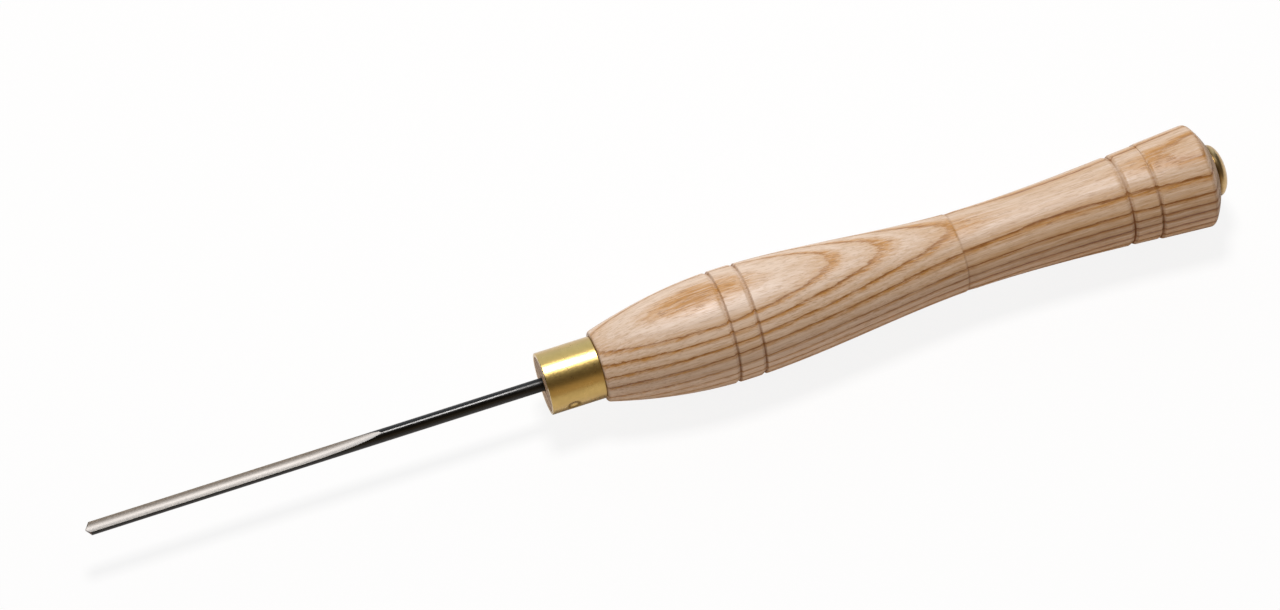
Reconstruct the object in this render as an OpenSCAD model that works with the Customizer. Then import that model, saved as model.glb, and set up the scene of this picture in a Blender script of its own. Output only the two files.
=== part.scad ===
// Small spindle gouge for turning wood: a fluted round bar in a turned ash handle
// with a brass ferrule at the front and a brass button at the butt.
// Millimetres. The origin is the centre of the ferrule's front face, on the axis of the tool.
// +X runs to the cutting point and +Z out of the flute.

/* [Blade] */
// Diameter of the round steel bar
bar_d = 3.2; // [2.4:0.1:5]
// Length of bar in front of the ferrule, up to the cutting point
reach = 110.7; // [90:0.1:160]
// Length of bar held inside the handle
tang_len = 40; // [25:1:60]
// Length of the flute at full depth, back from the cutting point
flute_len = 50.5; // [30:0.5:65]
// Radius of the flute's round section
flute_r = 1.65; // [1.1:0.05:2]
// Depth of the flute below the top of the bar
flute_depth = 1.66; // [1:0.01:2.2]
// Radius of the grinding wheel, whose rim leaves the run-out of the flute
wheel_r = 130; // [60:1:200]
// Angle between the ground nose and the axis of the bar
nose_angle = 52; // [35:1:70]
// Chamfer on the ends that are pushed into a bore
lead_in = 0.4; // [0.1:0.05:0.8]

/* [Ferrule] */
// Outside diameter of the brass ferrule
ferrule_d = 15; // [12:0.1:20]
// Length of the ferrule
ferrule_len = 13.4; // [9:0.1:20]
// Wall of the ferrule
ferrule_wall = 0.8; // [0.5:0.05:1.2]
// Chamfer on the ferrule's outer edges
ferrule_edge = 0.2; // [0.05:0.05:0.4]
// Diameter of the punched dimple that locks the ferrule to the wood
dimple_d = 2.9; // [1.5:0.1:3.5]
// Depth of the punched dimple
dimple_depth = 0.5; // [0.2:0.05:0.7]
// Distance of the dimple from the ferrule's front face
dimple_at = 5.2; // [3:0.1:6.5]
// Angle of the dimple below the side of the ferrule
dimple_turn = 8; // [0:1:20]

/* [Handle] */
// Length of the handle from the ferrule's front face to the rim of the butt
handle_len = 164.3; // [150:0.1:200]
// Height of the wooden shoulder above the ferrule
shoulder_step = 1; // [0.4:0.1:2]
// Rise of the wood for each millimetre back from the shoulder
shoulder_slope = 0.286; // [0.1:0.002:0.4]
// Diameter of the swelling behind the ferrule
bulge_d = 27.1; // [24:0.1:34]
// Distance of the swelling from the ferrule's front face
bulge_at = 46.9; // [38:0.1:60]
// Diameter of the waist
waist_d = 18.9; // [15:0.1:23]
// Distance of the waist from the ferrule's front face
waist_at = 108.4; // [95:0.1:118]
// Diameter of the butt at its rim
butt_d = 25.3; // [22:0.1:32]
// Flare of the wood for each millimetre at the rim of the butt
flare_slope = 0.066; // [0:0.002:0.12]
// Radius of the domed end of the butt
dome_r = 20.5; // [18:0.5:60]
// Chamfer that eases the edges of the wood
ease = 0.5; // [0.2:0.05:1]
// Countersink at the mouth of the tang bore
mouth = 0.35; // [0.1:0.05:0.8]

/* [Turned lines] */
// Depth of the cut lines
line_depth = 0.45; // [0.2:0.05:0.8]
// Width of the front pair of lines
front_line_w = 0.9; // [0.5:0.1:1.6]
// Distance of the first front line ahead of the swelling
front_line_ahead = 2.5; // [1:0.1:6]
// Distance between the front lines
front_band = 6.7; // [4:0.1:12]
// Width of the rear pair of lines
rear_line_w = 1.1; // [0.5:0.1:1.6]
// Distance of the last rear line from the rim of the butt
rear_line_from_rim = 12.7; // [8:0.1:18]
// Distance between the rear lines
rear_band = 7.4; // [4:0.1:12]
// Step up in radius behind the last rear line
tail_step = 0.2; // [0.02:0.02:0.4]
// Distance of the shallow line ahead of the waist
waist_line_ahead = 5.8; // [2:0.1:10]
// Depth of the shallow line
waist_line_depth = 0.16; // [0.05:0.01:0.3]
// Length over which the shallow line runs out towards the butt
waist_line_fade = 3; // [1:0.1:5]
// Length of the steep side of the shallow line
waist_line_lip = 0.15; // [0.05:0.05:0.4]

/* [End button] */
// Diameter of the button's head
head_d = 12.7; // [9:0.1:16]
// Height of the head above its seat
head_h = 3.4; // [2:0.1:5]
// Height of the straight rim of the head
head_rim = 0.7; // [0.3:0.1:1.5]
// Width of the flat seat that shows round the head
seat_margin = 0.3; // [0.1:0.1:1]
// Diameter of the button's stem
stem_d = 6; // [4:0.1:8]
// Length of the stem
stem_len = 12; // [6:0.5:20]

/* [Fits] */
// Radial room for glue round the tang and the stem
glue_line = 0.05; // [0:0.01:0.1]
// Room behind the end of the stem
stem_relief = 0.5; // [0.2:0.1:2]

/* [Hidden] */
$fn = 128;
// Number of straight steps in each curved stretch of an outline
curve_steps = 18;
// Overlap of cutters past the surface that they cut
past = 1;

bar_r = bar_d / 2;
ferrule_r = ferrule_d / 2;
spigot_r = ferrule_r - ferrule_wall;
shoulder_r = ferrule_r + shoulder_step;
bulge_r = bulge_d / 2;
waist_r = waist_d / 2;
butt_r = butt_d / 2;
head_r = head_d / 2;
stem_r = stem_d / 2;

// The point of the full cone lies ahead of the cutting point where the flute cuts below the axis
nose_apex = reach + max(0, flute_depth - bar_r) / tan(nose_angle);
nose_len = bar_r / tan(nose_angle);
// Height of the flute's own axis above the axis of the bar
flute_axis = bar_r - flute_depth + flute_r;
// Station where the wheel starts to leave the bar, and the turn of the wheel until it is clear
runout_at = flute_len - reach;
wheel_path_r = wheel_r - flute_r;
runout_angle = acos(1 - (flute_depth + past) / wheel_r);

// Ball that punches the dimple, and its distance from the axis
dimple_r = (pow(dimple_d / 2, 2) + pow(dimple_depth, 2)) / (2 * dimple_depth);
dimple_out = ferrule_r + dimple_r - dimple_depth;

// Stations of the turned lines, and the seat of the button on the domed end
front_line_at = bulge_at - front_line_ahead;
tail_at = handle_len - rear_line_from_rim;
waist_line_at = waist_at - waist_line_ahead;
seat_r = head_r + seat_margin;
seat_at = dome_at(seat_r);

// Smooth curve from a to b with given slopes at its ends; u runs from 0 to 1 along the span
function blend(a, b, slope_a, slope_b, span, u) =
    a * (1 + 2 * u) * pow(1 - u, 2)
    + b * (3 - 2 * u) * pow(u, 2)
    + span * u * (1 - u) * (slope_a * (1 - u) - slope_b * u);

function blend_between(from, to, a, b, slope_a, slope_b, z) =
    blend(a, b, slope_a, slope_b, to - from, (z - from) / (to - from));

// Radius of the wood at station z, counted back from the ferrule's front face
function wood_r(z) =
    z < bulge_at ? blend_between(ferrule_len, bulge_at, shoulder_r, bulge_r, shoulder_slope, 0, z)
    : z < waist_at ? blend_between(bulge_at, waist_at, bulge_r, waist_r, 0, 0, z)
    : blend_between(waist_at, handle_len, waist_r, butt_r - tail_step, 0, flare_slope, z)
        + (z < tail_at ? 0 : tail_step);

// Station of the domed end at a radius
function dome_at(r) = handle_len + sqrt(pow(dome_r, 2) - pow(r, 2)) - sqrt(pow(dome_r, 2) - pow(butt_r, 2));

function steps(from, to) = [for (i = [0:curve_steps]) from + (to - from) * i / curve_steps];

function wood_between(from, to) = [for (z = steps(from, to)) [wood_r(z), z]];

handle_outline = concat(
    [[0, 0], [spigot_r, 0], [spigot_r, ferrule_len], [shoulder_r - ease, ferrule_len]],
    wood_between(ferrule_len + ease, bulge_at),
    wood_between(bulge_at, waist_at),
    wood_between(waist_at, tail_at - rear_line_w / 2),
    wood_between(tail_at + rear_line_w / 2, handle_len - ease),
    [for (r = steps(butt_r - ease, seat_r)) [r, dome_at(r)]],
    [[0, seat_at]]
);

bar_outline = [
    [0, -nose_apex],
    [bar_r, nose_len - nose_apex],
    [bar_r, tang_len - lead_in],
    [bar_r - lead_in, tang_len],
    [0, tang_len]
];

ferrule_outline = [
    [spigot_r, 0],
    [ferrule_r - ferrule_edge, 0],
    [ferrule_r, ferrule_edge],
    [ferrule_r, ferrule_len - ferrule_edge],
    [ferrule_r - ferrule_edge, ferrule_len],
    [spigot_r, ferrule_len]
];

button_outline = concat(
    [[0, seat_at - stem_len], [stem_r - lead_in, seat_at - stem_len]],
    [[stem_r, seat_at - stem_len + lead_in], [stem_r, seat_at], [head_r, seat_at]],
    [for (a = steps(0, 90)) [head_r * cos(a), seat_at + head_rim + (head_h - head_rim) * sin(a)]]
);

// Lays stations along -X, with the modelling X axis turned up to +Z
module lay() {
    rotate([0, -90, 0]) children();
}

// The straight flute and the stretch where the wheel lifts out of the bar
module flute() {
    translate([flute_axis, 0, -nose_apex - past])
        cylinder(r = flute_r, h = nose_apex + past + runout_at);
    translate([flute_axis + wheel_path_r, 0, runout_at])
        rotate([90, 0, 0])
        rotate([0, 0, 180 - runout_angle])
        rotate_extrude(angle = runout_angle)
        translate([wheel_path_r, 0])
        circle(r = flute_r);
}

// The ball of the punch; a skin makes it the size of the brass that is pushed into the wood
module punch(skin) {
    rotate([0, 0, dimple_turn])
        translate([0, dimple_out, dimple_at])
        sphere(r = dimple_r + skin);
}

// A ring cut to a depth at one station, which meets the surface ahead of it and behind it
module turned_line(at, ahead, behind, depth) {
    rotate_extrude()
        polygon([
            [wood_r(at - ahead), at - ahead],
            [wood_r(at) - depth, at],
            [wood_r(at + behind), at + behind],
            [wood_r(at + behind) + past, at + behind],
            [wood_r(at - ahead) + past, at - ahead]
        ]);
}

module line_pair(at, band, width) {
    for (z = [at, at + band])
        turned_line(z, width / 2, width / 2, line_depth);
}

module tang_bore() {
    translate([0, 0, -past])
        cylinder(r = bar_r + glue_line, h = tang_len + past);
    cylinder(r1 = bar_r + glue_line + mouth, r2 = bar_r + glue_line, h = mouth);
}

module stem_bore() {
    translate([0, 0, seat_at - stem_len - stem_relief])
        cylinder(r = stem_r + glue_line, h = stem_len + stem_relief + past);
}

module blade() {
    color("#2d2d30")
        lay()
        difference() {
            rotate_extrude() polygon(bar_outline);
            flute();
        }
}

module ferrule() {
    color("#b9a04f")
        lay()
        difference() {
            union() {
                rotate_extrude() polygon(ferrule_outline);
                intersection() {
                    punch(ferrule_wall);
                    cylinder(r = ferrule_r - ferrule_wall / 2, h = ferrule_len);
                }
            }
            punch(0);
        }
}

module handle() {
    color("#dcbf9b")
        lay()
        difference() {
            rotate_extrude() polygon(handle_outline);
            tang_bore();
            stem_bore();
            punch(ferrule_wall);
            line_pair(front_line_at, front_band, front_line_w);
            line_pair(tail_at - rear_band, rear_band, rear_line_w);
            turned_line(waist_line_at, waist_line_lip, waist_line_fade, waist_line_depth);
        }
}

module end_button() {
    color("#c4a75a")
        lay()
        rotate_extrude()
        polygon(button_outline);
}

blade();
ferrule();
handle();
end_button();
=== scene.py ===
import math
from collections import namedtuple

import bpy
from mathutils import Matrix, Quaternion, Vector


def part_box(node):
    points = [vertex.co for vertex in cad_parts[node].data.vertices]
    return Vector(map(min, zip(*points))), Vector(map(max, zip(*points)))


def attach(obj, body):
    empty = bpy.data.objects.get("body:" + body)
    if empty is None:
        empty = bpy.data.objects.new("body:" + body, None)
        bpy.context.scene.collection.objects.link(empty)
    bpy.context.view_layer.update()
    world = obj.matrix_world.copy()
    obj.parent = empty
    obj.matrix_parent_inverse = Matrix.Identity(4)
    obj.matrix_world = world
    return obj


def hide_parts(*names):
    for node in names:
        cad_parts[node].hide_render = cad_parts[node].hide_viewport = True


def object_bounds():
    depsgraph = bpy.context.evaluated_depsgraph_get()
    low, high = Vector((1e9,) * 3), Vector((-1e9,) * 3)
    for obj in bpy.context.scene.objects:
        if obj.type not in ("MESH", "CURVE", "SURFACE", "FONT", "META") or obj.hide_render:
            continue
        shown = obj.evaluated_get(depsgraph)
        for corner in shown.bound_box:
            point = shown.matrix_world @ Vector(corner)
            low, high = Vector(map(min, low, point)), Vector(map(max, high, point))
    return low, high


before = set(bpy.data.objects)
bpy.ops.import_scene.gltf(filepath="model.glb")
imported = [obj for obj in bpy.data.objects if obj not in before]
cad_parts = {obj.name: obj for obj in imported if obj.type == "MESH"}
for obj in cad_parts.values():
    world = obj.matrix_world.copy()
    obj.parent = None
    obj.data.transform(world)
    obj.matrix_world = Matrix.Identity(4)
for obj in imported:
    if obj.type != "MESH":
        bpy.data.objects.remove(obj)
cad_low, cad_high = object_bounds()

# Lengths below are in millimetres, as on the solids; MM turns them into metres.
MM = 0.001

# Bar: round stock with a ground flute, its run-out and a conical nose
BAR_R = (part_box("blade")[1].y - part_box("blade")[0].y) / 2 / MM
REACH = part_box("blade")[1].x / MM
TANG_LEN = -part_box("blade")[0].x / MM
FLUTE_LEN = 50.5
FLUTE_R = 1.65
FLUTE_DEPTH = 1.66
WHEEL_R = 130.0
NOSE_ANGLE = math.radians(52)
FLOOR_DROP = max(0.0, FLUTE_DEPTH - BAR_R)
NOSE_APEX = REACH + FLOOR_DROP / math.tan(NOSE_ANGLE)
LEAD_IN = 0.4

# Ferrule: drawn tube with one punched dimple
FERRULE_R = (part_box("ferrule")[1].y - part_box("ferrule")[0].y) / 2 / MM
FERRULE_LEN = -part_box("ferrule")[0].x / MM
FERRULE_WALL = 0.8
FERRULE_EDGE = 0.25
DIMPLE_D = 2.9
DIMPLE_DEPTH = 0.5
DIMPLE_AT = 5.2
DIMPLE_TURN = math.radians(8)
DIMPLE_ZONE = 0.7 * DIMPLE_D

# Handle: turned ash
HANDLE_LEN = 164.3
SHOULDER_R = FERRULE_R + 1.0
SHOULDER_SLOPE = 0.286
BULGE_R = -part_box("handle")[0].z / MM
BULGE_AT = 46.9
WAIST_R = 9.45
WAIST_AT = 108.4
BUTT_R = 12.65
FLARE_SLOPE = 0.066
DOME_R = 20.5
EASE = 0.6
MOUTH = 0.35
TAIL_STEP = 0.2
GLUE_LINE = 0.05
FACE_STEP = 0.1

# Lines cut round the handle: station of the bottom, width ahead, width behind, depth and scorching
Line = namedtuple("Line", "at ahead behind depth scorch")
TAIL_AT = HANDLE_LEN - 13.3
TURNED_LINES = [
    Line(BULGE_AT - 2.65, 1.05, 0.4, 0.45, 0.9),
    Line(BULGE_AT + 3.75, 0.95, 0.45, 0.45, 0.95),
    Line(WAIST_AT - 5.75, 0.45, 2.6, 0.16, 0.55),
    Line(TAIL_AT - 6.9, 1.1, 0.9, 0.45, 1.4),
    Line(TAIL_AT + 0.1, 0.75, 0.7, 0.45, 0.95),
]
WORN_LINE = TURNED_LINES[-1]
WORN_TURN = math.radians(-38)
WORN_SHARE = 0.85
CORNER_SOFTNESS = 0.4
SCORCH_REACH = 0.45
# Painted shade: share of the lines' darkening kept on the lit top of the handle, rising to all of it down
# the flanks
SCORCH_ON_LIT_TOP = 0.32
WALL_TINT = 0.2
WALL_TINT_RISE = 3
RIM_TINT = 0.25

# Button: domed head on a stem
HEAD_R = (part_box("end_button")[1].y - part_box("end_button")[0].y) / 2 / MM
HEAD_H = 3.4
HEAD_RIM = 0.7
HEAD_EDGE = 0.25
SEAT_R = HEAD_R + 0.3
STEM_R = 3.0
STEM_LEN = 12.0
STEM_RELIEF = 0.5

# Mesh fineness
SEGMENTS = 176
DIMPLE_STEPS = 56
TUBE_FRONT_STEPS = 8
TUBE_BACK_STEPS = 16
STATION_STEP = 0.8
LINE_STEPS = 16
ARC_STEPS = 10
RIM_STEPS = 3
TANG_STEPS = 8
SHANK_STEPS = 24
RUNOUT_STEPS = 90
FLUTE_STEPS = 60
NOSE_STEPS = 24
FLUTE_POINTS = 40
OUTER_POINTS = 88
NARROWEST_FLUTE = math.radians(1.5)
SHARP_ANGLE = math.radians(32)

# Order of the finishes on the pieces that have more than one
LONG_GRAIN, END_GRAIN = 0, 1
BLACK_SKIN, GROUND, BURNT = 0, 1, 2

# One point of a turned outline; finish names the material of the stretch that starts there
Point = namedtuple("Point", "station radius scorch finish")


def blend(a, b, slope_a, slope_b, span, u):
    """Smooth curve from a to b with given end slopes; u runs from 0 to 1."""
    ends = a * (1 + 2 * u) * (1 - u) ** 2 + b * (3 - 2 * u) * u ** 2
    return ends + span * u * (1 - u) * (slope_a * (1 - u) - slope_b * u)


def spread(start, end, count):
    """Evenly spaced values from start to end, both included."""
    return [start + (end - start) * i / count for i in range(count + 1)]


def wood_radius(station):
    """Radius of the turned wood before its lines are cut."""
    if station < BULGE_AT:
        span = BULGE_AT - FERRULE_LEN
        return blend(SHOULDER_R, BULGE_R, SHOULDER_SLOPE, 0, span, (station - FERRULE_LEN) / span)
    if station < WAIST_AT:
        span = WAIST_AT - BULGE_AT
        return blend(BULGE_R, WAIST_R, 0, 0, span, (station - BULGE_AT) / span)
    span = HANDLE_LEN - WAIST_AT
    radius = blend(WAIST_R, BUTT_R - TAIL_STEP, 0, FLARE_SLOPE, span, (station - WAIST_AT) / span)
    return radius + (TAIL_STEP if station >= TAIL_AT else 0)


def cut_share(line, station):
    """How deep a turned line is at a station, as a share of its full depth, with softened corners."""
    offset = station - line.at
    side = line.ahead if offset < 0 else line.behind
    share = max(0.0, 1 - abs(offset) / side)
    soft = share * share * (3 - 2 * share)
    return (1 - CORNER_SOFTNESS) * share + CORNER_SOFTNESS * soft


def scorched(line, share, station):
    """Darkening of a turned line: a faint tint on its walls and a dark bottom."""
    bottom = max(0.0, 1 - abs(station - line.at) / SCORCH_REACH)
    return line.scorch * max(bottom, WALL_TINT * min(1.0, WALL_TINT_RISE * share))


def sanded(station, angle):
    """Share of the last line that sanding has taken away at an angle from the top."""
    if not WORN_LINE.at - WORN_LINE.ahead < station < WORN_LINE.at + WORN_LINE.behind:
        return 0.0
    return WORN_SHARE * max(0.0, math.cos(angle - WORN_TURN)) ** 2


def shade_and_sanding(station, angle):
    """Share of the scorching left at an angle from the top: painted shade keeps the lines paler on the lit
    top and darker down the flanks, and sanding made the last line paler.
    """
    share = math.sin(angle) ** 2 if math.cos(angle) > 0 else 1.0
    return (SCORCH_ON_LIT_TOP + (1 - SCORCH_ON_LIT_TOP) * share) * (1 - sanded(station, angle))


def dome_station(radius):
    """Station of the domed butt at a radius."""
    return HANDLE_LEN + math.sqrt(DOME_R ** 2 - radius ** 2) - math.sqrt(DOME_R ** 2 - BUTT_R ** 2)


SEAT_AT = dome_station(SEAT_R)


def rounded_corner(start, corner, end):
    """Points of a soft corner between two (station, radius) pairs, both included."""
    points = []
    for t in spread(0, 1, ARC_STEPS):
        weights = ((1 - t) ** 2, 2 * t * (1 - t), t ** 2)
        weighted = list(zip(weights, (start, corner, end)))
        points.append(tuple(sum(weight * pair[i] for weight, pair in weighted) for i in (0, 1)))
    return points


def plain(pairs, finish=0, scorch=0.0):
    """Points from (station, radius) pairs with one finish and one tint."""
    return [Point(station, radius, scorch, finish) for station, radius in pairs]


def link(name, mesh, finishes):
    """Puts a mesh in the scene with its materials and smooth shading broken at sharp edges."""
    for finish in finishes:
        mesh.materials.append(finish)
    mesh.shade_smooth()
    mesh.set_sharp_from_angle(angle=SHARP_ANGLE)
    piece = bpy.data.objects.new(name, mesh)
    bpy.context.scene.collection.objects.link(piece)
    return piece


def mesh_from(name, vertices, faces, face_finishes):
    """A mesh in metres from vertices in millimetres, with a finish index for each face."""
    mesh = bpy.data.meshes.new(name)
    mesh.from_pydata([tuple(c * MM for c in vertex) for vertex in vertices], [], faces)
    mesh.polygons.foreach_set("material_index", face_finishes)
    mesh.update()
    return mesh


def turn_angles():
    """Angles round the axis, from +Z towards +Y, packed closely across the punched dimple."""
    centre = math.pi / 2 + DIMPLE_TURN
    half = DIMPLE_ZONE / FERRULE_R
    close = spread(centre - half, centre + half, DIMPLE_STEPS)
    return close + spread(centre + half, centre - half + 2 * math.pi, SEGMENTS)[1:-1]


def tube_stations(start, end):
    """Stations along the ferrule, packed closely across the punched dimple."""
    front = DIMPLE_AT - DIMPLE_ZONE
    back = DIMPLE_AT + DIMPLE_ZONE
    stations = spread(start, front, TUBE_FRONT_STEPS)
    stations += spread(front, back, DIMPLE_STEPS)[1:]
    stations += spread(back, end, TUBE_BACK_STEPS)[1:]
    return stations


ANGLES = turn_angles()


def punched(station, radius, angle):
    """Radius after a ball-ended punch has pushed the wall in, with a soft rim to the dent."""
    distance = math.hypot(station - DIMPLE_AT, (angle - math.pi / 2 - DIMPLE_TURN) * FERRULE_R)
    if distance > DIMPLE_ZONE:
        return radius
    return radius - DIMPLE_DEPTH * (1 + math.cos(math.pi * distance / DIMPLE_ZONE)) / 2


def wood_shape(station, radius, angle):
    """The spigot takes the punched dent, and the last line is sanded shallow on one side."""
    if BAR_R + GLUE_LINE + MOUTH < radius < FERRULE_R and 0 < station < FERRULE_LEN:
        return punched(station, radius, angle)
    return radius + sanded(station, angle) * (wood_radius(station) - radius)


def lathe(name, outline, finishes, shape=None):
    """Turns an outline round the tool's axis; shape may change a radius, and radius 0 is a pole."""
    vertices, scorch, rings = [], [], []
    for point in outline:
        first = len(vertices)
        count = 1 if point.radius == 0 else len(ANGLES)
        for angle in ANGLES[:count]:
            radius = shape(point.station, point.radius, angle) if shape else point.radius
            vertices.append((-point.station, radius * math.sin(angle), radius * math.cos(angle)))
            # The scorch attribute carries painted shade as well: lines paler on the lit top, darker down
            # the flanks
            scorch.append(point.scorch * shade_and_sanding(point.station, angle))
        rings.append((first, count))
    faces, face_finishes = [], []
    for (a, count_a), (b, count_b), point in zip(rings, rings[1:], outline):
        for i in range(len(ANGLES)):
            j = (i + 1) % len(ANGLES)
            corners = [a + i % count_a, a + j % count_a, b + j % count_b, b + i % count_b]
            face = tuple(dict.fromkeys(corners))
            if len(face) > 2:
                faces.append(face)
                face_finishes.append(point.finish)
    mesh = mesh_from(name, vertices, faces, face_finishes)
    mesh.attributes.new("scorch", "FLOAT", "POINT").data.foreach_set("value", scorch)
    return link(name, mesh, finishes)


def handle_outline():
    """From the bottom of the tang bore, out over the wood and back into the stem bore."""
    bore_r = BAR_R + GLUE_LINE
    spigot_r = FERRULE_R - FERRULE_WALL
    stem_bore_r = STEM_R + GLUE_LINE
    bore = [(TANG_LEN, 0), (TANG_LEN, bore_r), (MOUTH, bore_r), (0, bore_r + MOUTH)]
    spigot = [(0, spigot_r)] + [(station, spigot_r) for station in tube_stations(FACE_STEP, FERRULE_LEN)]
    shoulder = rounded_corner(
        (FERRULE_LEN, SHOULDER_R - EASE),
        (FERRULE_LEN, SHOULDER_R),
        (FERRULE_LEN + EASE, wood_radius(FERRULE_LEN + EASE)),
    )
    count = round((HANDLE_LEN - FERRULE_LEN) / STATION_STEP)
    stations = set(spread(FERRULE_LEN + EASE, HANDLE_LEN - EASE, count))
    for line in TURNED_LINES:
        stations = {s for s in stations if not line.at - line.ahead < s < line.at + line.behind}
        stations.update(spread(line.at - line.ahead, line.at, LINE_STEPS))
        stations.update(spread(line.at, line.at + line.behind, LINE_STEPS))
    wood = []
    for station in sorted(stations):
        shares = [(cut_share(line, station), line) for line in TURNED_LINES]
        depth = sum(share * line.depth for share, line in shares)
        scorch = max(scorched(line, share, station) for share, line in shares)
        wood.append(Point(station, wood_radius(station) - depth, scorch, LONG_GRAIN))
    rim = rounded_corner(
        (HANDLE_LEN - EASE, wood_radius(HANDLE_LEN - EASE)),
        (HANDLE_LEN, BUTT_R),
        (dome_station(BUTT_R - EASE), BUTT_R - EASE),
    )
    dome = [(dome_station(radius), radius) for radius in spread(BUTT_R - EASE, SEAT_R, ARC_STEPS * 2)]
    stem_bottom = SEAT_AT - STEM_LEN - STEM_RELIEF
    stem_bore = [(SEAT_AT, stem_bore_r), (stem_bottom, stem_bore_r), (stem_bottom, 0)]
    front_face = plain(bore + spigot[:1], END_GRAIN)
    front_side = plain(spigot[1:] + shoulder[:-1])
    rim_band = plain(rim[1:-1] + dome[:RIM_STEPS], LONG_GRAIN, RIM_TINT)
    butt_face = plain(dome[RIM_STEPS:] + stem_bore, END_GRAIN)
    return front_face + front_side + wood + rim_band + butt_face


def ferrule_outline():
    """Closed ring of points round the wall of the tube, starting inside the front edge."""
    inner = FERRULE_R - FERRULE_WALL
    outer = FERRULE_R
    edge = FERRULE_EDGE
    end = FERRULE_LEN
    front = rounded_corner((0, outer - edge), (0, outer), (edge, outer))
    back = rounded_corner((end - edge, outer), (end, outer), (end, outer - edge))
    wall = [(station, outer) for station in tube_stations(edge, end - edge)]
    inside = [(station, inner) for station in reversed(tube_stations(0, end))]
    return plain(front + wall[1:-1] + back + inside + front[:1])


def button_outline():
    """From the end of the stem, out under the head and over the dome."""
    bottom = SEAT_AT - STEM_LEN
    edge = HEAD_EDGE
    stem = [(bottom, 0), (bottom, STEM_R - LEAD_IN), (bottom + LEAD_IN, STEM_R), (SEAT_AT, STEM_R)]
    under = rounded_corner((SEAT_AT, HEAD_R - edge), (SEAT_AT, HEAD_R), (SEAT_AT + edge, HEAD_R))
    dome = []
    for angle in spread(0, math.pi / 2, ARC_STEPS * 3):
        rise = SEAT_AT + HEAD_RIM + (HEAD_H - HEAD_RIM) * math.sin(angle)
        dome.append((rise, HEAD_R * math.cos(angle)))
    dome[-1] = (SEAT_AT + HEAD_H, 0)
    return plain(stem + under + dome)


def bar_section(forward):
    """(outer radius, height of the flute's axis or None) at a distance in front of the ferrule."""
    outer = min(BAR_R, (NOSE_APEX - forward) * math.tan(NOSE_ANGLE))
    lift = max(0.0, REACH - FLUTE_LEN - forward)
    rise = WHEEL_R - math.sqrt(max(0.0, WHEEL_R ** 2 - lift ** 2))
    axis = BAR_R - FLUTE_DEPTH + FLUTE_R + rise
    return outer, axis if axis - FLUTE_R < outer else None


def flute_half_angle(outer, axis):
    """Angle from the top of the bar to each edge of the flute."""
    if axis is None:
        return 0.0
    height = (outer ** 2 - FLUTE_R ** 2 + axis ** 2) / (2 * axis)
    return math.acos(max(-1.0, min(1.0, height / outer)))


def blade_piece(finishes):
    """Sections of the bar from the tang's end to the cutting point: the flute's arc, then the outside."""
    runout_len = math.sqrt(WHEEL_R ** 2 - (WHEEL_R - FLUTE_DEPTH) ** 2)
    flute_end = REACH - FLUTE_LEN
    nose_len = BAR_R / math.tan(NOSE_ANGLE)
    runout_start = flute_end - runout_len
    stations = spread(LEAD_IN - TANG_LEN, 0, TANG_STEPS)
    stations += spread(0, runout_start, SHANK_STEPS)[1:]
    stations += spread(runout_start, flute_end, RUNOUT_STEPS)[1:]
    stations += spread(flute_end, REACH - nose_len, FLUTE_STEPS)[1:]
    stations += spread(REACH - nose_len, REACH, NOSE_STEPS)[1:-1]
    nose_start = NOSE_APEX - nose_len
    stations.append(nose_start)
    stations.sort()
    vertices = []
    for forward in stations:
        outer, axis = bar_section(forward)
        half = flute_half_angle(outer, axis)
        on_flute = half > NARROWEST_FLUTE
        half = max(half, NARROWEST_FLUTE)
        edge_y = outer * math.sin(half)
        edge_z = outer * math.cos(half)
        turn = math.atan2(edge_y, axis - edge_z) if on_flute else half
        for share in spread(-1, 1, FLUTE_POINTS):
            across = math.sin(share * turn)
            upright = math.cos(share * turn)
            if on_flute:
                vertices.append((forward, FLUTE_R * across, axis - FLUTE_R * upright))
            else:
                vertices.append((forward, outer * across, outer * upright))
        for angle in spread(half, 2 * math.pi - half, OUTER_POINTS)[1:-1]:
            vertices.append((forward, outer * math.sin(angle), outer * math.cos(angle)))
    ring = FLUTE_POINTS + OUTER_POINTS
    faces, face_finishes = [], []
    for k, forward in enumerate(stations[:-1]):
        outside = BURNT if forward >= nose_start else BLACK_SKIN
        for i in range(ring):
            j = (i + 1) % ring
            faces.append((k * ring + i, k * ring + j, (k + 1) * ring + j, (k + 1) * ring + i))
            in_flute = i < FLUTE_POINTS and forward >= runout_start
            face_finishes.append(GROUND if in_flute else outside)
    point = len(vertices)
    vertices.append((REACH, 0, BAR_R - FLUTE_DEPTH))
    last = (len(stations) - 1) * ring
    for i in range(ring):
        faces.append((last + i, last + (i + 1) % ring, point))
        face_finishes.append(GROUND if i < FLUTE_POINTS else BURNT)
    chamfer = len(vertices)
    end_r = BAR_R - LEAD_IN
    for i in range(ring):
        _, y, z = vertices[i]
        vertices.append((-TANG_LEN, y * end_r / BAR_R, z * end_r / BAR_R))
    for i in range(ring):
        j = (i + 1) % ring
        faces.append((chamfer + i, chamfer + j, j, i))
        face_finishes.append(BLACK_SKIN)
    faces.append(tuple(chamfer + i for i in reversed(range(ring))))
    face_finishes.append(BLACK_SKIN)
    return link("fluted_bar", mesh_from("fluted_bar", vertices, faces, face_finishes), finishes)


# Node helpers
def add(tree, kind, **settings):
    """A new node with its settings."""
    made = tree.nodes.new(kind)
    for name, value in settings.items():
        setattr(made, name, value)
    return made


def feed(tree, socket, value):
    """Links an output socket to an input, or sets the input to a constant."""
    if isinstance(value, bpy.types.NodeSocket):
        tree.links.new(value, socket)
    else:
        socket.default_value = value


def calc(tree, operation, first, second=0.0, clamp=False):
    """One step of arithmetic."""
    made = add(tree, "ShaderNodeMath", operation=operation, use_clamp=clamp)
    feed(tree, made.inputs[0], first)
    feed(tree, made.inputs[1], second)
    return made.outputs[0]


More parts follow.
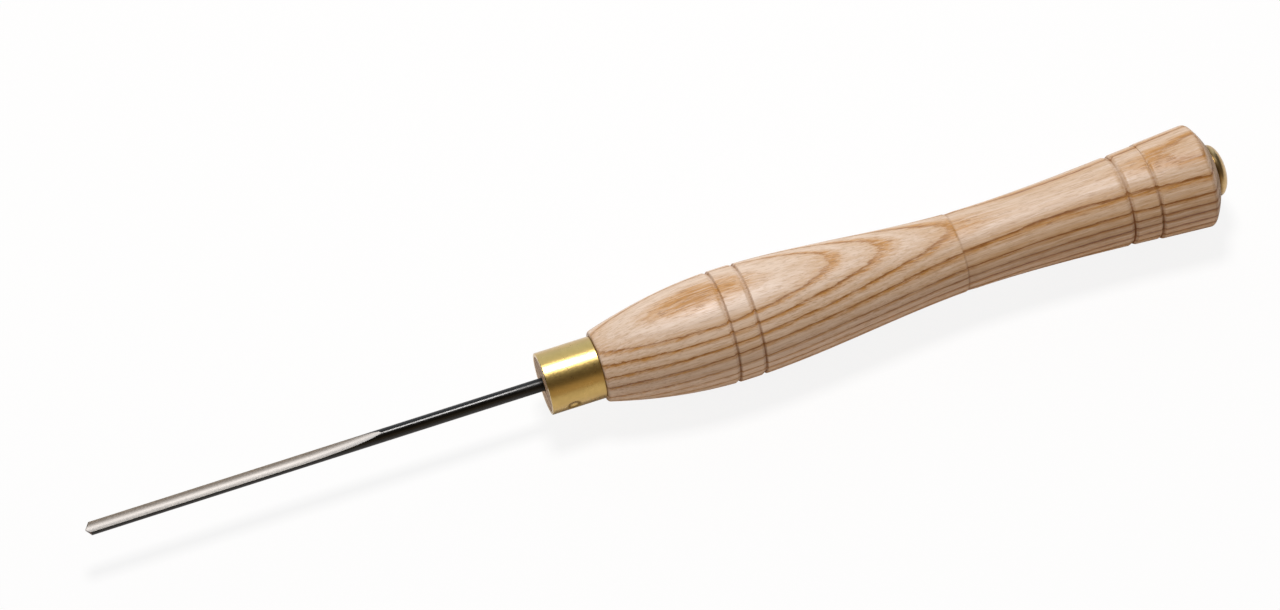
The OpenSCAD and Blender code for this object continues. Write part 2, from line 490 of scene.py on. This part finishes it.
def stretch(tree, vector, scales):
    """A vector with each of its parts scaled."""
    made = add(tree, "ShaderNodeVectorMath", operation="MULTIPLY")
    feed(tree, made.inputs[0], vector)
    made.inputs[1].default_value = scales
    return made.outputs[0]


def components(tree, vector):
    """The x, y and z of a vector."""
    made = add(tree, "ShaderNodeSeparateXYZ")
    feed(tree, made.inputs[0], vector)
    return made.outputs


def speckle(tree, vector, detail=2.0, roughness=0.5):
    """Noise with features about one unit across."""
    made = add(tree, "ShaderNodeTexNoise")
    feed(tree, made.inputs["Vector"], vector)
    made.inputs["Scale"].default_value = 1.0
    made.inputs["Detail"].default_value = detail
    made.inputs["Roughness"].default_value = roughness
    return made.outputs["Fac"]


def remap(tree, value, low, high, to_low=0.0, to_high=1.0):
    """A value moved from one range to another and held inside it."""
    made = add(tree, "ShaderNodeMapRange", clamp=True)
    feed(tree, made.inputs["Value"], value)
    made.inputs["From Min"].default_value = low
    made.inputs["From Max"].default_value = high
    made.inputs["To Min"].default_value = to_low
    made.inputs["To Max"].default_value = to_high
    return made.outputs["Result"]


def mix_colour(tree, share, first, second):
    """A share of the second colour over the first."""
    made = add(tree, "ShaderNodeMix", data_type="RGBA")
    feed(tree, made.inputs["Factor"], share)
    feed(tree, made.inputs["A"], first)
    feed(tree, made.inputs["B"], second)
    return made.outputs["Result"]


def ramp(tree, value, stops):
    """Grey ramp through (position, value) stops."""
    made = add(tree, "ShaderNodeValToRGB")
    elements = made.color_ramp.elements
    for position, _ in stops[2:]:
        elements.new(position)
    for element, (position, level) in zip(elements, stops):
        element.position = position
        element.color = (level, level, level, 1)
    feed(tree, made.inputs["Fac"], value)
    return made.outputs["Color"]


def curve_through(tree, value, points):
    """Straight pieces through (x, y) points, both from 0 to 1."""
    made = add(tree, "ShaderNodeFloatCurve")
    curve = made.mapping.curves[0]
    for _ in points[2:]:
        curve.points.new(0.5, 0.5)
    for knot, (x, y) in zip(curve.points, points):
        knot.location = (x, y)
        knot.handle_type = "VECTOR"
    made.mapping.update()
    feed(tree, made.inputs["Value"], value)
    return made.outputs["Value"]


def group(name, inputs, outputs):
    """An empty shader node group with named sockets; returns its tree and its input and output nodes."""
    tree = bpy.data.node_groups.new(name, "ShaderNodeTree")
    for socket, kind in inputs:
        tree.interface.new_socket(socket, in_out="INPUT", socket_type=kind)
    for socket, kind in outputs:
        tree.interface.new_socket(socket, in_out="OUTPUT", socket_type=kind)
    return tree, add(tree, "NodeGroupInput"), add(tree, "NodeGroupOutput")


def place(tree, made_group, **values):
    """Places a group in a material and feeds its named inputs."""
    made = add(tree, "ShaderNodeGroup", node_tree=made_group)
    for name, value in values.items():
        feed(tree, made.inputs[name], value)
    return made.outputs


# Growth layers of the ash: how they lie in the handle, then the height and strength of each dark line
LAYER_TILT = math.radians(-6.65)
LAYER_TURN = math.radians(-3.23)
LAYER_CENTRE = -85.0
LAYER_REACH = 70.0
LAYER_DRIFT = (4.93, 0.117, -0.949, 0.553, 0.2945)
LAYER_CURVE = -0.008
GROWTH_LINES = (
    (-22.7, 0.8), (-20.2, 0.9), (-17.7, 0.8), (-15.2, 0.9), (-12.7, 0.9), (-10.1, 0.9), (-7.35, 0.9),
    (-5.1, 1.0), (-2.45, 1.0), (-0.2, 1.0), (2.35, 0.95), (5.85, 1.0), (8.53, 1.0), (11.05, 0.95),
    (13.1, 0.9), (16.65, 1.0), (19.5, 0.8),
)
LAYER_LOW = -24.0
LAYER_HIGH = 24.0
END_STRENGTH = 0.6

# From one dark line (0) to the next (1), as (phase, level) stops
LINE_STOPS = (
    (0.0, 0.5), (0.05, 0.0), (0.3, 0.0), (0.38, 0.16), (0.43, 0.0), (0.6, 0.0), (0.67, 0.14), (0.71, 0.0),
    (0.82, 0.0), (0.9, 0.35), (0.95, 1.0), (1.0, 0.95),
)
BROAD_LINE_STOPS = ((0.0, 0.8), (0.16, 0.0), (0.55, 0.0), (0.85, 0.75), (0.95, 1.0), (1.0, 1.0))
EARLY_STOPS = (
    (0.0, 0.4), (0.1, 0.18), (0.3, 0.04), (0.52, 0.0), (0.7, 0.35), (0.8, 0.75), (0.9, 1.0), (1.0, 1.0),
)
PALING_STOPS = ((0.0, 0.3), (0.1, 0.3), (0.55, 0.75), (0.75, 0.65), (1.0, 0.5))


def growth_layers():
    """Where a point lies in the tree: dark line, tan early wood, fibre streaks and open pores."""
    tree, given, result = group(
        "growth_layers",
        [("Position", "NodeSocketVector")],
        [(name, "NodeSocketFloat") for name in ("Line", "Early", "Streak", "Pore")],
    )
    position = given.outputs["Position"]
    x, y, z = components(tree, position)
    along = calc(tree, "DIVIDE", calc(tree, "SUBTRACT", x, LAYER_CENTRE), LAYER_REACH)
    tilt = calc(tree, "ADD", calc(tree, "MULTIPLY", along, LAYER_TURN), LAYER_TILT)
    tilt_cos = calc(tree, "COSINE", tilt)
    tilt_sin = calc(tree, "SINE", tilt)
    up = calc(tree, "ADD", calc(tree, "MULTIPLY", z, tilt_cos), calc(tree, "MULTIPLY", y, tilt_sin))
    side = calc(tree, "SUBTRACT", calc(tree, "MULTIPLY", y, tilt_cos), calc(tree, "MULTIPLY", z, tilt_sin))
    drift = 0.0
    for factor in reversed(LAYER_DRIFT):
        drift = calc(tree, "MULTIPLY", calc(tree, "ADD", drift, factor), along)
    cup = calc(tree, "MULTIPLY", calc(tree, "MULTIPLY", side, side), LAYER_CURVE)
    height = calc(tree, "ADD", calc(tree, "ADD", up, drift), cup)
    sway = speckle(tree, stretch(tree, position, (0.035, 0.1, 0.1)), 2.0)
    wiggle = speckle(tree, stretch(tree, position, (0.2, 0.8, 0.8)), 3.0, 0.6)
    fray = speckle(tree, stretch(tree, position, (0.05, 2.6, 2.6)), 3.0, 0.65)
    height = calc(tree, "ADD", height, remap(tree, sway, 0.2, 0.8, -0.15, 0.15))
    height = calc(tree, "ADD", height, remap(tree, wiggle, 0.2, 0.8, -0.12, 0.12))
    height = calc(tree, "ADD", height, remap(tree, fray, 0.25, 0.75, -0.16, 0.16))
    scaled = remap(tree, height, LAYER_LOW, LAYER_HIGH)
    count = len(GROWTH_LINES) + 1
    lines = [(level - LAYER_LOW) / (LAYER_HIGH - LAYER_LOW) for level, _ in GROWTH_LINES]
    knots = [(0.0, 0.0)] + [(level, (i + 1) / count) for i, level in enumerate(lines)] + [(1.0, 1.0)]
    number = calc(tree, "MULTIPLY", curve_through(tree, scaled, knots), float(count))
    phase = calc(tree, "FRACT", number)
    strengths = [(level, strength) for level, (_, strength) in zip(lines, GROWTH_LINES)]
    strengths = [(0.0, END_STRENGTH)] + strengths + [(1.0, END_STRENGTH)]
    strength = curve_through(tree, scaled, strengths)
    low_down = remap(tree, height, 5.0, -3.0)
    rear = remap(tree, along, -0.6, 0.4, 1.0, 0.0)
    rear_flank = calc(tree, "MULTIPLY", low_down, rear)
    line = ramp(tree, phase, LINE_STOPS)
    broad_line = ramp(tree, phase, BROAD_LINE_STOPS)
    broadened = calc(tree, "MULTIPLY", rear, remap(tree, height, 6.5, 1.5, 0.0, 0.4))
    line = calc(tree, "ADD", line, calc(tree, "MULTIPLY", broad_line, broadened))
    early = ramp(tree, phase, EARLY_STOPS)
    paling = ramp(tree, phase, PALING_STOPS)
    grain_frame = add(tree, "ShaderNodeCombineXYZ")
    for socket, value in zip(grain_frame.inputs, (x, side, height)):
        feed(tree, socket, value)
    fibre_place = grain_frame.outputs[0]
    fine = speckle(tree, stretch(tree, fibre_place, (0.07, 1.7, 2.2)), 4.0, 0.75)
    broad = speckle(tree, stretch(tree, fibre_place, (0.03, 0.7, 0.9)), 2.0)
    streak = calc(tree, "ADD", calc(tree, "MULTIPLY", fine, 0.75), calc(tree, "MULTIPLY", broad, 0.2))
    streak = calc(tree, "ADD", streak, calc(tree, "MULTIPLY", paling, 0.25))
    streak = calc(tree, "SUBTRACT", streak, calc(tree, "MULTIPLY", rear, 0.12))
    streak = calc(tree, "SUBTRACT", streak, calc(tree, "MULTIPLY", rear_flank, 0.08))
    mottle = speckle(tree, stretch(tree, fibre_place, (0.22, 1.6, 2.4)), 3.0, 0.65)
    mottle = remap(tree, mottle, 0.3, 0.7, 0.55, 1.25)
    dashes = speckle(tree, stretch(tree, fibre_place, (0.35, 3.6, 4.2)), 1.0)
    pore = calc(tree, "MULTIPLY", remap(tree, dashes, 0.57, 0.66), remap(tree, early, 0.0, 0.7, 0.45, 1.0))
    front_flank = calc(tree, "MULTIPLY", low_down, along)
    vivid = calc(tree, "SUBTRACT", 1.0, calc(tree, "MULTIPLY", front_flank, 0.45))
    strength = calc(tree, "MULTIPLY", calc(tree, "MULTIPLY", strength, mottle), vivid)
    radius = calc(tree, "ADD", calc(tree, "MULTIPLY", up, up), calc(tree, "MULTIPLY", side, side))
    radius = calc(tree, "SQRT", radius)
    slant = calc(tree, "DIVIDE", calc(tree, "ABSOLUTE", side), calc(tree, "MAXIMUM", radius, 1.0))
    line = calc(tree, "MULTIPLY", line, remap(tree, slant, 0.1, 0.5, 0.25, 1.0))
    line = calc(tree, "MULTIPLY", line, remap(tree, fine, 0.35, 0.65, 1.25, 0.65))
    early = calc(tree, "MULTIPLY", early, remap(tree, fine, 0.35, 0.65, 1.35, 0.4))
    feed(tree, result.inputs["Line"], calc(tree, "MULTIPLY", line, strength, clamp=True))
    tan = calc(tree, "ADD", calc(tree, "MULTIPLY", strength, 0.8), 0.3)
    feed(tree, result.inputs["Early"], calc(tree, "MULTIPLY", early, tan, clamp=True))
    feed(tree, result.inputs["Streak"], streak)
    feed(tree, result.inputs["Pore"], pore)
    return tree


def turning_marks():
    """Fine rings round the tool's axis, left by a lathe tool or a drawing die."""
    tree, given, result = group(
        "turning_marks",
        [("Position", "NodeSocketVector"), ("Spacing", "NodeSocketFloat")],
        [("Marks", "NodeSocketFloat")],
    )
    per_mm = calc(tree, "DIVIDE", 1.0, given.outputs["Spacing"])
    x, y, z = components(tree, given.outputs["Position"])
    radius = calc(tree, "ADD", calc(tree, "POWER", y, 2.0), calc(tree, "POWER", z, 2.0))
    radius = calc(tree, "SQRT", radius)
    rings = add(tree, "ShaderNodeCombineXYZ")
    feed(tree, rings.inputs[0], calc(tree, "MULTIPLY", x, per_mm))
    feed(tree, rings.inputs[1], calc(tree, "MULTIPLY", radius, per_mm))
    feed(tree, result.inputs["Marks"], speckle(tree, rings.outputs[0], 3.0, 0.65))
    return tree


def handling():
    """Soft patches where fingers and the workshop have dulled a finish."""
    tree, given, result = group(
        "handling",
        [("Position", "NodeSocketVector"), ("Size", "NodeSocketFloat")],
        [("Patches", "NodeSocketFloat")],
    )
    scaled = add(tree, "ShaderNodeVectorMath", operation="SCALE")
    feed(tree, scaled.inputs[0], given.outputs["Position"])
    feed(tree, scaled.inputs["Scale"], calc(tree, "DIVIDE", 1.0, given.outputs["Size"]))
    feed(tree, result.inputs["Patches"], speckle(tree, scaled.outputs[0], 4.0, 0.6))
    return tree


GROWTH = growth_layers()
TURNING = turning_marks()
HANDLING = handling()


def material(name, **constants):
    """A new material with its shader's constants set; returns it, its tree, shader and position in mm."""
    made = bpy.data.materials.new(name)
    made.use_nodes = True
    tree = made.node_tree
    shader = tree.nodes["Principled BSDF"]
    for socket, value in constants.items():
        shader.inputs[socket.replace("_", " ")].default_value = value
    coordinate = add(tree, "ShaderNodeTexCoord")
    position = stretch(tree, coordinate.outputs["Object"], (1 / MM, 1 / MM, 1 / MM))
    return made, tree, shader, position


def bump(tree, shader, height, strength, distance):
    """Fine relief on a shader; distance is in millimetres."""
    made = add(tree, "ShaderNodeBump")
    made.inputs["Strength"].default_value = strength
    made.inputs["Distance"].default_value = distance * MM
    feed(tree, made.inputs["Height"], height)
    feed(tree, shader.inputs["Normal"], made.outputs["Normal"])


ASH_PALE = (0.705, 0.53, 0.39, 1)
ASH_DEEP = (0.542, 0.34, 0.186, 1)
ASH_EARLY = (0.5, 0.225, 0.04, 1)
ASH_LINE = (0.2, 0.065, 0.01, 1)
ASH_PORE = (0.32, 0.145, 0.045, 1)
ASH_SCORCH = (0.17, 0.055, 0.005, 1)
END_PALE = (0.67, 0.457, 0.28, 1)
END_DEEP = (0.535, 0.352, 0.207, 1)
END_EARLY = (0.34, 0.19, 0.09, 1)
END_LINE = (0.2, 0.1, 0.045, 1)
END_PORE = (0.1, 0.045, 0.02, 1)
# Painted shade on the end grain towards the butt, from the first of these stations to the second
BUTT_PAINTED_SHADE = (0.2, 0.13, 0.08, 1)
BUTT_SHADE_FROM = 120.0
BUTT_SHADE_FULL = 150.0


def ash_long_grain():
    """Satin lacquered ash with its lines, early wood, fibres and pores, darkened where lines are cut."""
    made, tree, shader, position = material("ash_long_grain", Specular_IOR_Level=0.5)
    grain = place(tree, GROWTH, Position=position)
    colour = mix_colour(tree, remap(tree, grain["Streak"], 0.36, 0.7), ASH_DEEP, ASH_PALE)
    colour = mix_colour(tree, calc(tree, "MULTIPLY", grain["Early"], 0.95), colour, ASH_EARLY)
    colour = mix_colour(tree, calc(tree, "MULTIPLY", grain["Line"], 0.9), colour, ASH_LINE)
    colour = mix_colour(tree, calc(tree, "MULTIPLY", grain["Pore"], 0.65), colour, ASH_PORE)
    # The scorch attribute holds the burnt lines together with painted shade: paler on the lit top, darker
    # down the flanks
    cut = add(tree, "ShaderNodeAttribute", attribute_name="scorch")
    colour = mix_colour(tree, calc(tree, "MULTIPLY", cut.outputs["Fac"], 0.95), colour, ASH_SCORCH)
    feed(tree, shader.inputs["Base Color"], colour)
    lathe_rings = place(tree, TURNING, Position=position, Spacing=0.5)["Marks"]
    wear = place(tree, HANDLING, Position=position, Size=9.0)["Patches"]
    dullness = remap(tree, wear, 0.3, 0.7, 0.36, 0.46)
    dullness = calc(tree, "ADD", dullness, calc(tree, "MULTIPLY", grain["Pore"], 0.12))
    dullness = calc(tree, "ADD", dullness, calc(tree, "MULTIPLY", cut.outputs["Fac"], 0.4))
    feed(tree, shader.inputs["Roughness"], dullness)
    relief = calc(tree, "SUBTRACT", calc(tree, "MULTIPLY", lathe_rings, 0.25), grain["Pore"])
    bump(tree, shader, relief, 0.35, 0.04)
    return made


def ash_end_grain():
    """Sawn and sanded end grain: the growth layers end on, with open pores crowded in the early wood."""
    made, tree, shader, position = material("ash_end_grain", Specular_IOR_Level=0.2)
    grain = place(tree, GROWTH, Position=position)
    dots = speckle(tree, stretch(tree, position, (0.4, 2.8, 2.8)), 2.0, 0.5)
    fuzz = speckle(tree, stretch(tree, position, (0.4, 6.0, 6.0)), 3.0, 0.7)
    colour = mix_colour(tree, remap(tree, fuzz, 0.35, 0.65), END_PALE, END_DEEP)
    colour = mix_colour(tree, calc(tree, "MULTIPLY", grain["Early"], 0.6), colour, END_EARLY)
    colour = mix_colour(tree, calc(tree, "MULTIPLY", grain["Line"], 0.5), colour, END_LINE)
    crowding = remap(tree, grain["Early"], 0.05, 0.7, 0.2, 1.0)
    pores = calc(tree, "MULTIPLY", remap(tree, dots, 0.5, 0.6), crowding)
    colour = mix_colour(tree, calc(tree, "MULTIPLY", pores, 0.85), colour, END_PORE)
    # Painted shade: the end grain darkens towards the butt, where little fill light reaches the end face
    butt_shade = remap(tree, components(tree, position)[0], -BUTT_SHADE_FROM, -BUTT_SHADE_FULL, 0.0, 0.3)
    colour = mix_colour(tree, butt_shade, colour, BUTT_PAINTED_SHADE)
    feed(tree, shader.inputs["Base Color"], colour)
    feed(tree, shader.inputs["Roughness"], remap(tree, fuzz, 0.3, 0.7, 0.5, 0.68))
    relief = calc(tree, "SUBTRACT", calc(tree, "MULTIPLY", fuzz, 0.4), pores)
    bump(tree, shader, relief, 0.3, 0.04)
    return made


BRASS_CLEAN = (0.555, 0.38, 0.117, 1)
BRASS_DULL = (0.49, 0.335, 0.097, 1)
# Dark brown painted shade, used round the ferrule's dent and under the button's head
BRASS_PAINTED_SHADE = (0.11, 0.052, 0.005, 1)
BUTTON_CLEAN = (0.57, 0.405, 0.195, 1)
BUTTON_DULL = (0.48, 0.335, 0.15, 1)
# Painted shade ring round the dent, by distance from its centre as a share of the dent's zone
DENT_SHADE_STOPS = ((0.0, 0.0), (0.42, 0.0), (0.6, 1.0), (0.7, 1.0), (0.95, 0.0))


def satin_brass():
    """Drawn brass tube with fine rings, dulled patches and a ring of painted shade, with less coat, round
    the punched dent.
    """
    made, tree, shader, position = material("satin_brass", Metallic=1.0, Coat_Roughness=0.3)
    rings = place(tree, TURNING, Position=position, Spacing=0.12)["Marks"]
    wear = place(tree, HANDLING, Position=position, Size=2.5)["Patches"]
    colour = mix_colour(tree, remap(tree, wear, 0.35, 0.7), BRASS_CLEAN, BRASS_DULL)
    from_dent = add(tree, "ShaderNodeVectorMath", operation="DISTANCE")
    feed(tree, from_dent.inputs[0], position)
    turn = math.pi / 2 + DIMPLE_TURN
    dent_centre = (-DIMPLE_AT, FERRULE_R * math.sin(turn), FERRULE_R * math.cos(turn))
    from_dent.inputs[1].default_value = dent_centre
    reach = calc(tree, "DIVIDE", from_dent.outputs["Value"], DIMPLE_ZONE)
    # Painted shade: a dark ring round the rim of the dent, with less coat, where the brass would mirror
    # the shadowed floor
    dent_shade = ramp(tree, reach, DENT_SHADE_STOPS)
    colour = mix_colour(tree, calc(tree, "MULTIPLY", dent_shade, 0.65), colour, BRASS_PAINTED_SHADE)
    feed(tree, shader.inputs["Base Color"], colour)
    feed(tree, shader.inputs["Coat Weight"], remap(tree, dent_shade, 0.0, 1.0, 0.55, 0.0))
    spots = place(tree, HANDLING, Position=position, Size=0.5)["Patches"]
    dullness = remap(tree, rings, 0.3, 0.7, 0.25, 0.28)
    dullness = calc(tree, "ADD", dullness, remap(tree, wear, 0.4, 0.7, 0.0, 0.05))
    dullness = calc(tree, "ADD", dullness, remap(tree, spots, 0.35, 0.65, 0.0, 0.06))
    dullness = calc(tree, "ADD", dullness, calc(tree, "MULTIPLY", dent_shade, 0.25))
    feed(tree, shader.inputs["Roughness"], dullness)
    relief = calc(tree, "ADD", calc(tree, "MULTIPLY", rings, 0.3), calc(tree, "MULTIPLY", spots, 1.2))
    relief = calc(tree, "ADD", relief, calc(tree, "MULTIPLY", wear, 3.0))
    bump(tree, shader, relief, 0.3, 0.03)
    return made


def polished_brass():
    """Turned and polished brass of the button, with painted shade where its head meets the wood."""
    made, tree, shader, position = material("polished_brass", Metallic=1.0)
    rings = place(tree, TURNING, Position=position, Spacing=0.2)["Marks"]
    wear = place(tree, HANDLING, Position=position, Size=1.8)["Patches"]
    colour = mix_colour(tree, remap(tree, wear, 0.35, 0.7), BUTTON_CLEAN, BUTTON_DULL)
    from_seat = calc(tree, "SUBTRACT", -SEAT_AT, components(tree, position)[0])
    # Painted shade: the head darkens near its seat on the wood, where a shadow line falls under it
    colour = mix_colour(tree, remap(tree, from_seat, 0.2, 0.95, 0.85, 0.0), colour, BRASS_PAINTED_SHADE)
    feed(tree, shader.inputs["Base Color"], colour)
    feed(tree, shader.inputs["Roughness"], remap(tree, wear, 0.3, 0.7, 0.25, 0.34))
    bump(tree, shader, rings, 0.2, 0.006)
    return made


WARM_GLOSS = (1.0, 0.96, 0.9, 1)
SKIN_DARK = (0.002, 0.0017, 0.0011, 1)
SKIN_WORN = (0.0045, 0.0038, 0.0026, 1)
DULL_FULL = 2.0
DULL_END = 12.0


def black_steel():
    """Hardened bar with its dark skin, duller next to the ferrule."""
    gloss = {"Specular_IOR_Level": 0.33, "Specular_Tint": WARM_GLOSS}
    made, tree, shader, position = material("black_steel", **gloss)
    wear = place(tree, HANDLING, Position=position, Size=1.2)["Patches"]
    colour = mix_colour(tree, remap(tree, wear, 0.35, 0.7), SKIN_DARK, SKIN_WORN)
    feed(tree, shader.inputs["Base Color"], colour)
    by_ferrule = remap(tree, components(tree, position)[0], DULL_FULL, DULL_END, 0.14, 0.0)
    dullness = calc(tree, "ADD", remap(tree, wear, 0.3, 0.7, 0.2, 0.28), by_ferrule)
    feed(tree, shader.inputs["Roughness"], dullness)
    bump(tree, shader, wear, 0.12, 0.01)
    return made


GROUND_DEEP = (0.49, 0.45, 0.405, 1)
GROUND_BRIGHT = (0.655, 0.605, 0.55, 1)
BURNT_DARK = (0.065, 0.034, 0.023, 1)
BURNT_PALE = (0.12, 0.07, 0.05, 1)
BROWNED_EDGE = 0.35


def ground_steel():
    """Bright steel with the fine lines of the grinding wheel along it, browned at the cutting edge."""
    made, tree, shader, position = material("ground_steel", Metallic=1.0)
    scratches = speckle(tree, stretch(tree, position, (0.5, 14.0, 14.0)), 3.0, 0.65)
    grit = speckle(tree, stretch(tree, position, (5.0, 8.0, 8.0)), 3.0, 0.7)
    tone = calc(tree, "ADD", calc(tree, "MULTIPLY", scratches, 0.6), calc(tree, "MULTIPLY", grit, 0.4))
    colour = mix_colour(tree, remap(tree, tone, 0.36, 0.64), GROUND_DEEP, GROUND_BRIGHT)
    from_apex = calc(tree, "SUBTRACT", NOSE_APEX, components(tree, position)[0])
    cone_r = calc(tree, "MULTIPLY", from_apex, math.tan(NOSE_ANGLE))
    from_axis = add(tree, "ShaderNodeVectorMath", operation="LENGTH")
    feed(tree, from_axis.inputs[0], stretch(tree, position, (0.0, 1.0, 1.0)))
    from_edge = calc(tree, "SUBTRACT", cone_r, from_axis.outputs["Value"])
    browned = remap(tree, from_edge, 0.05, BROWNED_EDGE, 0.85, 0.0)
    colour = mix_colour(tree, browned, colour, BURNT_DARK)
    feed(tree, shader.inputs["Base Color"], colour)
    feed(tree, shader.inputs["Roughness"], remap(tree, tone, 0.35, 0.65, 0.58, 0.72))
    bump(tree, shader, tone, 0.4, 0.012)
    return made


def burnt_steel():
    """Ground nose, browned by the heat of the wheel."""
    made, tree, shader, position = material("burnt_steel", Metallic=1.0)
    grit = speckle(tree, stretch(tree, position, (9.0, 9.0, 3.0)), 3.0, 0.7)
    colour = mix_colour(tree, remap(tree, grit, 0.36, 0.64), BURNT_DARK, BURNT_PALE)
    feed(tree, shader.inputs["Base Color"], colour)
    feed(tree, shader.inputs["Roughness"], remap(tree, grit, 0.35, 0.65, 0.4, 0.55))
    bump(tree, shader, grit, 0.2, 0.01)
    return made


FLOOR_COLOUR = (0.91, 0.855, 0.8, 1)
GLOW_SEEN = 0.88
GLOW_MIRRORED = 0.05


def floor_white():
    """Pale floor with a soft shadow; a share of glow keeps it white where it is seen or mirrored."""
    made = bpy.data.materials.new("pale_floor")
    made.use_nodes = True
    tree = made.node_tree
    tree.nodes.remove(tree.nodes["Principled BSDF"])
    path = add(tree, "ShaderNodeLightPath")
    mirrored = calc(tree, "MAXIMUM", path.outputs["Is Glossy Ray"], path.outputs["Is Transmission Ray"])
    share = calc(
        tree, "ADD",
        calc(tree, "MULTIPLY", path.outputs["Is Camera Ray"], GLOW_SEEN),
        calc(tree, "MULTIPLY", mirrored, GLOW_MIRRORED),
    )
    paper = add(tree, "ShaderNodeBsdfDiffuse")
    paper.inputs["Color"].default_value = FLOOR_COLOUR
    glow = add(tree, "ShaderNodeEmission")
    glow.inputs["Strength"].default_value = 1.0
    shown = add(tree, "ShaderNodeMixShader")
    feed(tree, shown.inputs[0], share)
    tree.links.new(paper.outputs[0], shown.inputs[1])
    tree.links.new(glow.outputs[0], shown.inputs[2])
    tree.links.new(shown.outputs[0], tree.nodes["Material Output"].inputs["Surface"])
    return made


FLOOR_SIZE = 12.0


def build_floor():
    """A flat floor under the lowest point of the tool."""
    half = FLOOR_SIZE / 2
    corners = [(-half, -half), (half, -half), (half, half), (-half, half)]
    mesh = bpy.data.meshes.new("floor")
    mesh.from_pydata([(x, y, cad_low.z) for x, y in corners], [], [(0, 1, 2, 3)])
    mesh.materials.append(floor_white())
    floor = bpy.data.objects.new("floor", mesh)
    bpy.context.scene.collection.objects.link(floor)


# Camera: a long lens that looks down on the tool, with the tip nearer than the butt
FRAME_WIDTH = 1280
FOCAL_PIXELS = 4290
SENSOR_MM = 36.0
VIEW_AZIMUTH = math.radians(165.095)
VIEW_ELEVATION = math.radians(57.108)
VIEW_ROLL = math.radians(-5.01)
VIEW_DISTANCE = 0.9977
AIM = Vector((-0.02681, -0.0071, 0.00889))
CLIP_NEAR = 0.01
CLIP_FAR = 50


def direction(azimuth, elevation):
    """Unit vector towards a place at an azimuth, counted as the camera's, and an elevation."""
    flat = math.cos(elevation)
    return Vector((math.sin(azimuth) * flat, -math.cos(azimuth) * flat, math.sin(elevation)))


def build_camera():
    """The camera, turned a little about its line of sight."""
    lens = bpy.data.cameras.new("camera")
    lens.sensor_width = SENSOR_MM
    lens.lens = FOCAL_PIXELS / FRAME_WIDTH * SENSOR_MM
    lens.clip_start = CLIP_NEAR
    lens.clip_end = CLIP_FAR
    camera = bpy.data.objects.new("camera", lens)
    back = direction(VIEW_AZIMUTH, VIEW_ELEVATION)
    camera.location = AIM + back * VIEW_DISTANCE
    camera.rotation_mode = "QUATERNION"
    camera.rotation_quaternion = (-back).to_track_quat("-Z", "Y") @ Quaternion((0, 0, 1), VIEW_ROLL)
    bpy.context.scene.collection.objects.link(camera)
    bpy.context.scene.camera = camera


# Light: one softbox overhead, a little behind the tool, in a dim room
SOFTBOX_AZIMUTH = math.radians(-14)
SOFTBOX_ELEVATION = math.radians(75)
SOFTBOX_DISTANCE = 0.9
SOFTBOX_SIDE = 0.2
SOFTBOX_POWER = 7.3
SOFTBOX_COLOUR = (0.98, 1.0, 1.05)
SOFTBOX_AIM = Vector((-0.03, 0.0, 0.0))
WORLD_BACK = (0.87, 0.98, 1.12, 1)
WORLD_FRONT = (1.1, 0.84, 0.56, 1)
ROOM_LEVEL = 0.1
WALL_BEHIND = 0.92
WALL_AHEAD = 0.44


def build_softbox():
    """A square area lamp turned to the tool."""
    lamp = bpy.data.lights.new("overhead_softbox", "AREA")
    lamp.shape = "RECTANGLE"
    lamp.size = SOFTBOX_SIDE
    lamp.size_y = SOFTBOX_SIDE
    lamp.energy = SOFTBOX_POWER
    lamp.color = SOFTBOX_COLOUR
    placed = bpy.data.objects.new("overhead_softbox", lamp)
    towards = direction(SOFTBOX_AZIMUTH, SOFTBOX_ELEVATION)
    placed.location = SOFTBOX_AIM + towards * SOFTBOX_DISTANCE
    placed.rotation_mode = "QUATERNION"
    placed.rotation_quaternion = (-towards).to_track_quat("-Z", "Y")
    bpy.context.scene.collection.objects.link(placed)


def build_world():
    """A dim studio with a bright wall behind the tool and a duller, warmer one in front of it."""
    world = bpy.data.worlds.new("studio")
    world.use_nodes = True
    tree = world.node_tree
    front = components(tree, add(tree, "ShaderNodeTexCoord").outputs["Generated"])[1]
    behind = remap(tree, calc(tree, "MULTIPLY", front, -1.0), 0.5, 0.78, 0.0, WALL_BEHIND)
    ahead = remap(tree, front, 0.77, 0.92, 0.0, WALL_AHEAD)
    level = calc(tree, "ADD", calc(tree, "ADD", behind, ahead), ROOM_LEVEL)
    tint = mix_colour(tree, remap(tree, front, -0.4, 0.5), WORLD_BACK, WORLD_FRONT)
    feed(tree, tree.nodes["Background"].inputs["Color"], tint)
    feed(tree, tree.nodes["Background"].inputs["Strength"], level)
    bpy.context.scene.world = world


def build_pieces():
    """The dressed pieces, each standing for one solid."""
    steel = [black_steel(), ground_steel(), burnt_steel()]
    ash = [ash_long_grain(), ash_end_grain()]
    made = [
        (blade_piece(steel), "blade", "steel"),
        (lathe("brass_ferrule", ferrule_outline(), [satin_brass()], punched), "ferrule", "brass_ferrule"),
        (lathe("turned_handle", handle_outline(), ash, wood_shape), "handle", "ash"),
        (lathe("butt_button", button_outline(), [polished_brass()]), "end_button", "brass_button"),
    ]
    for piece, node, slot in made:
        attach(piece, "root")
        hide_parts(node)


build_camera()
build_floor()
build_softbox()
build_world()
build_pieces()
bpy.context.scene.view_settings.view_transform = "Standard"
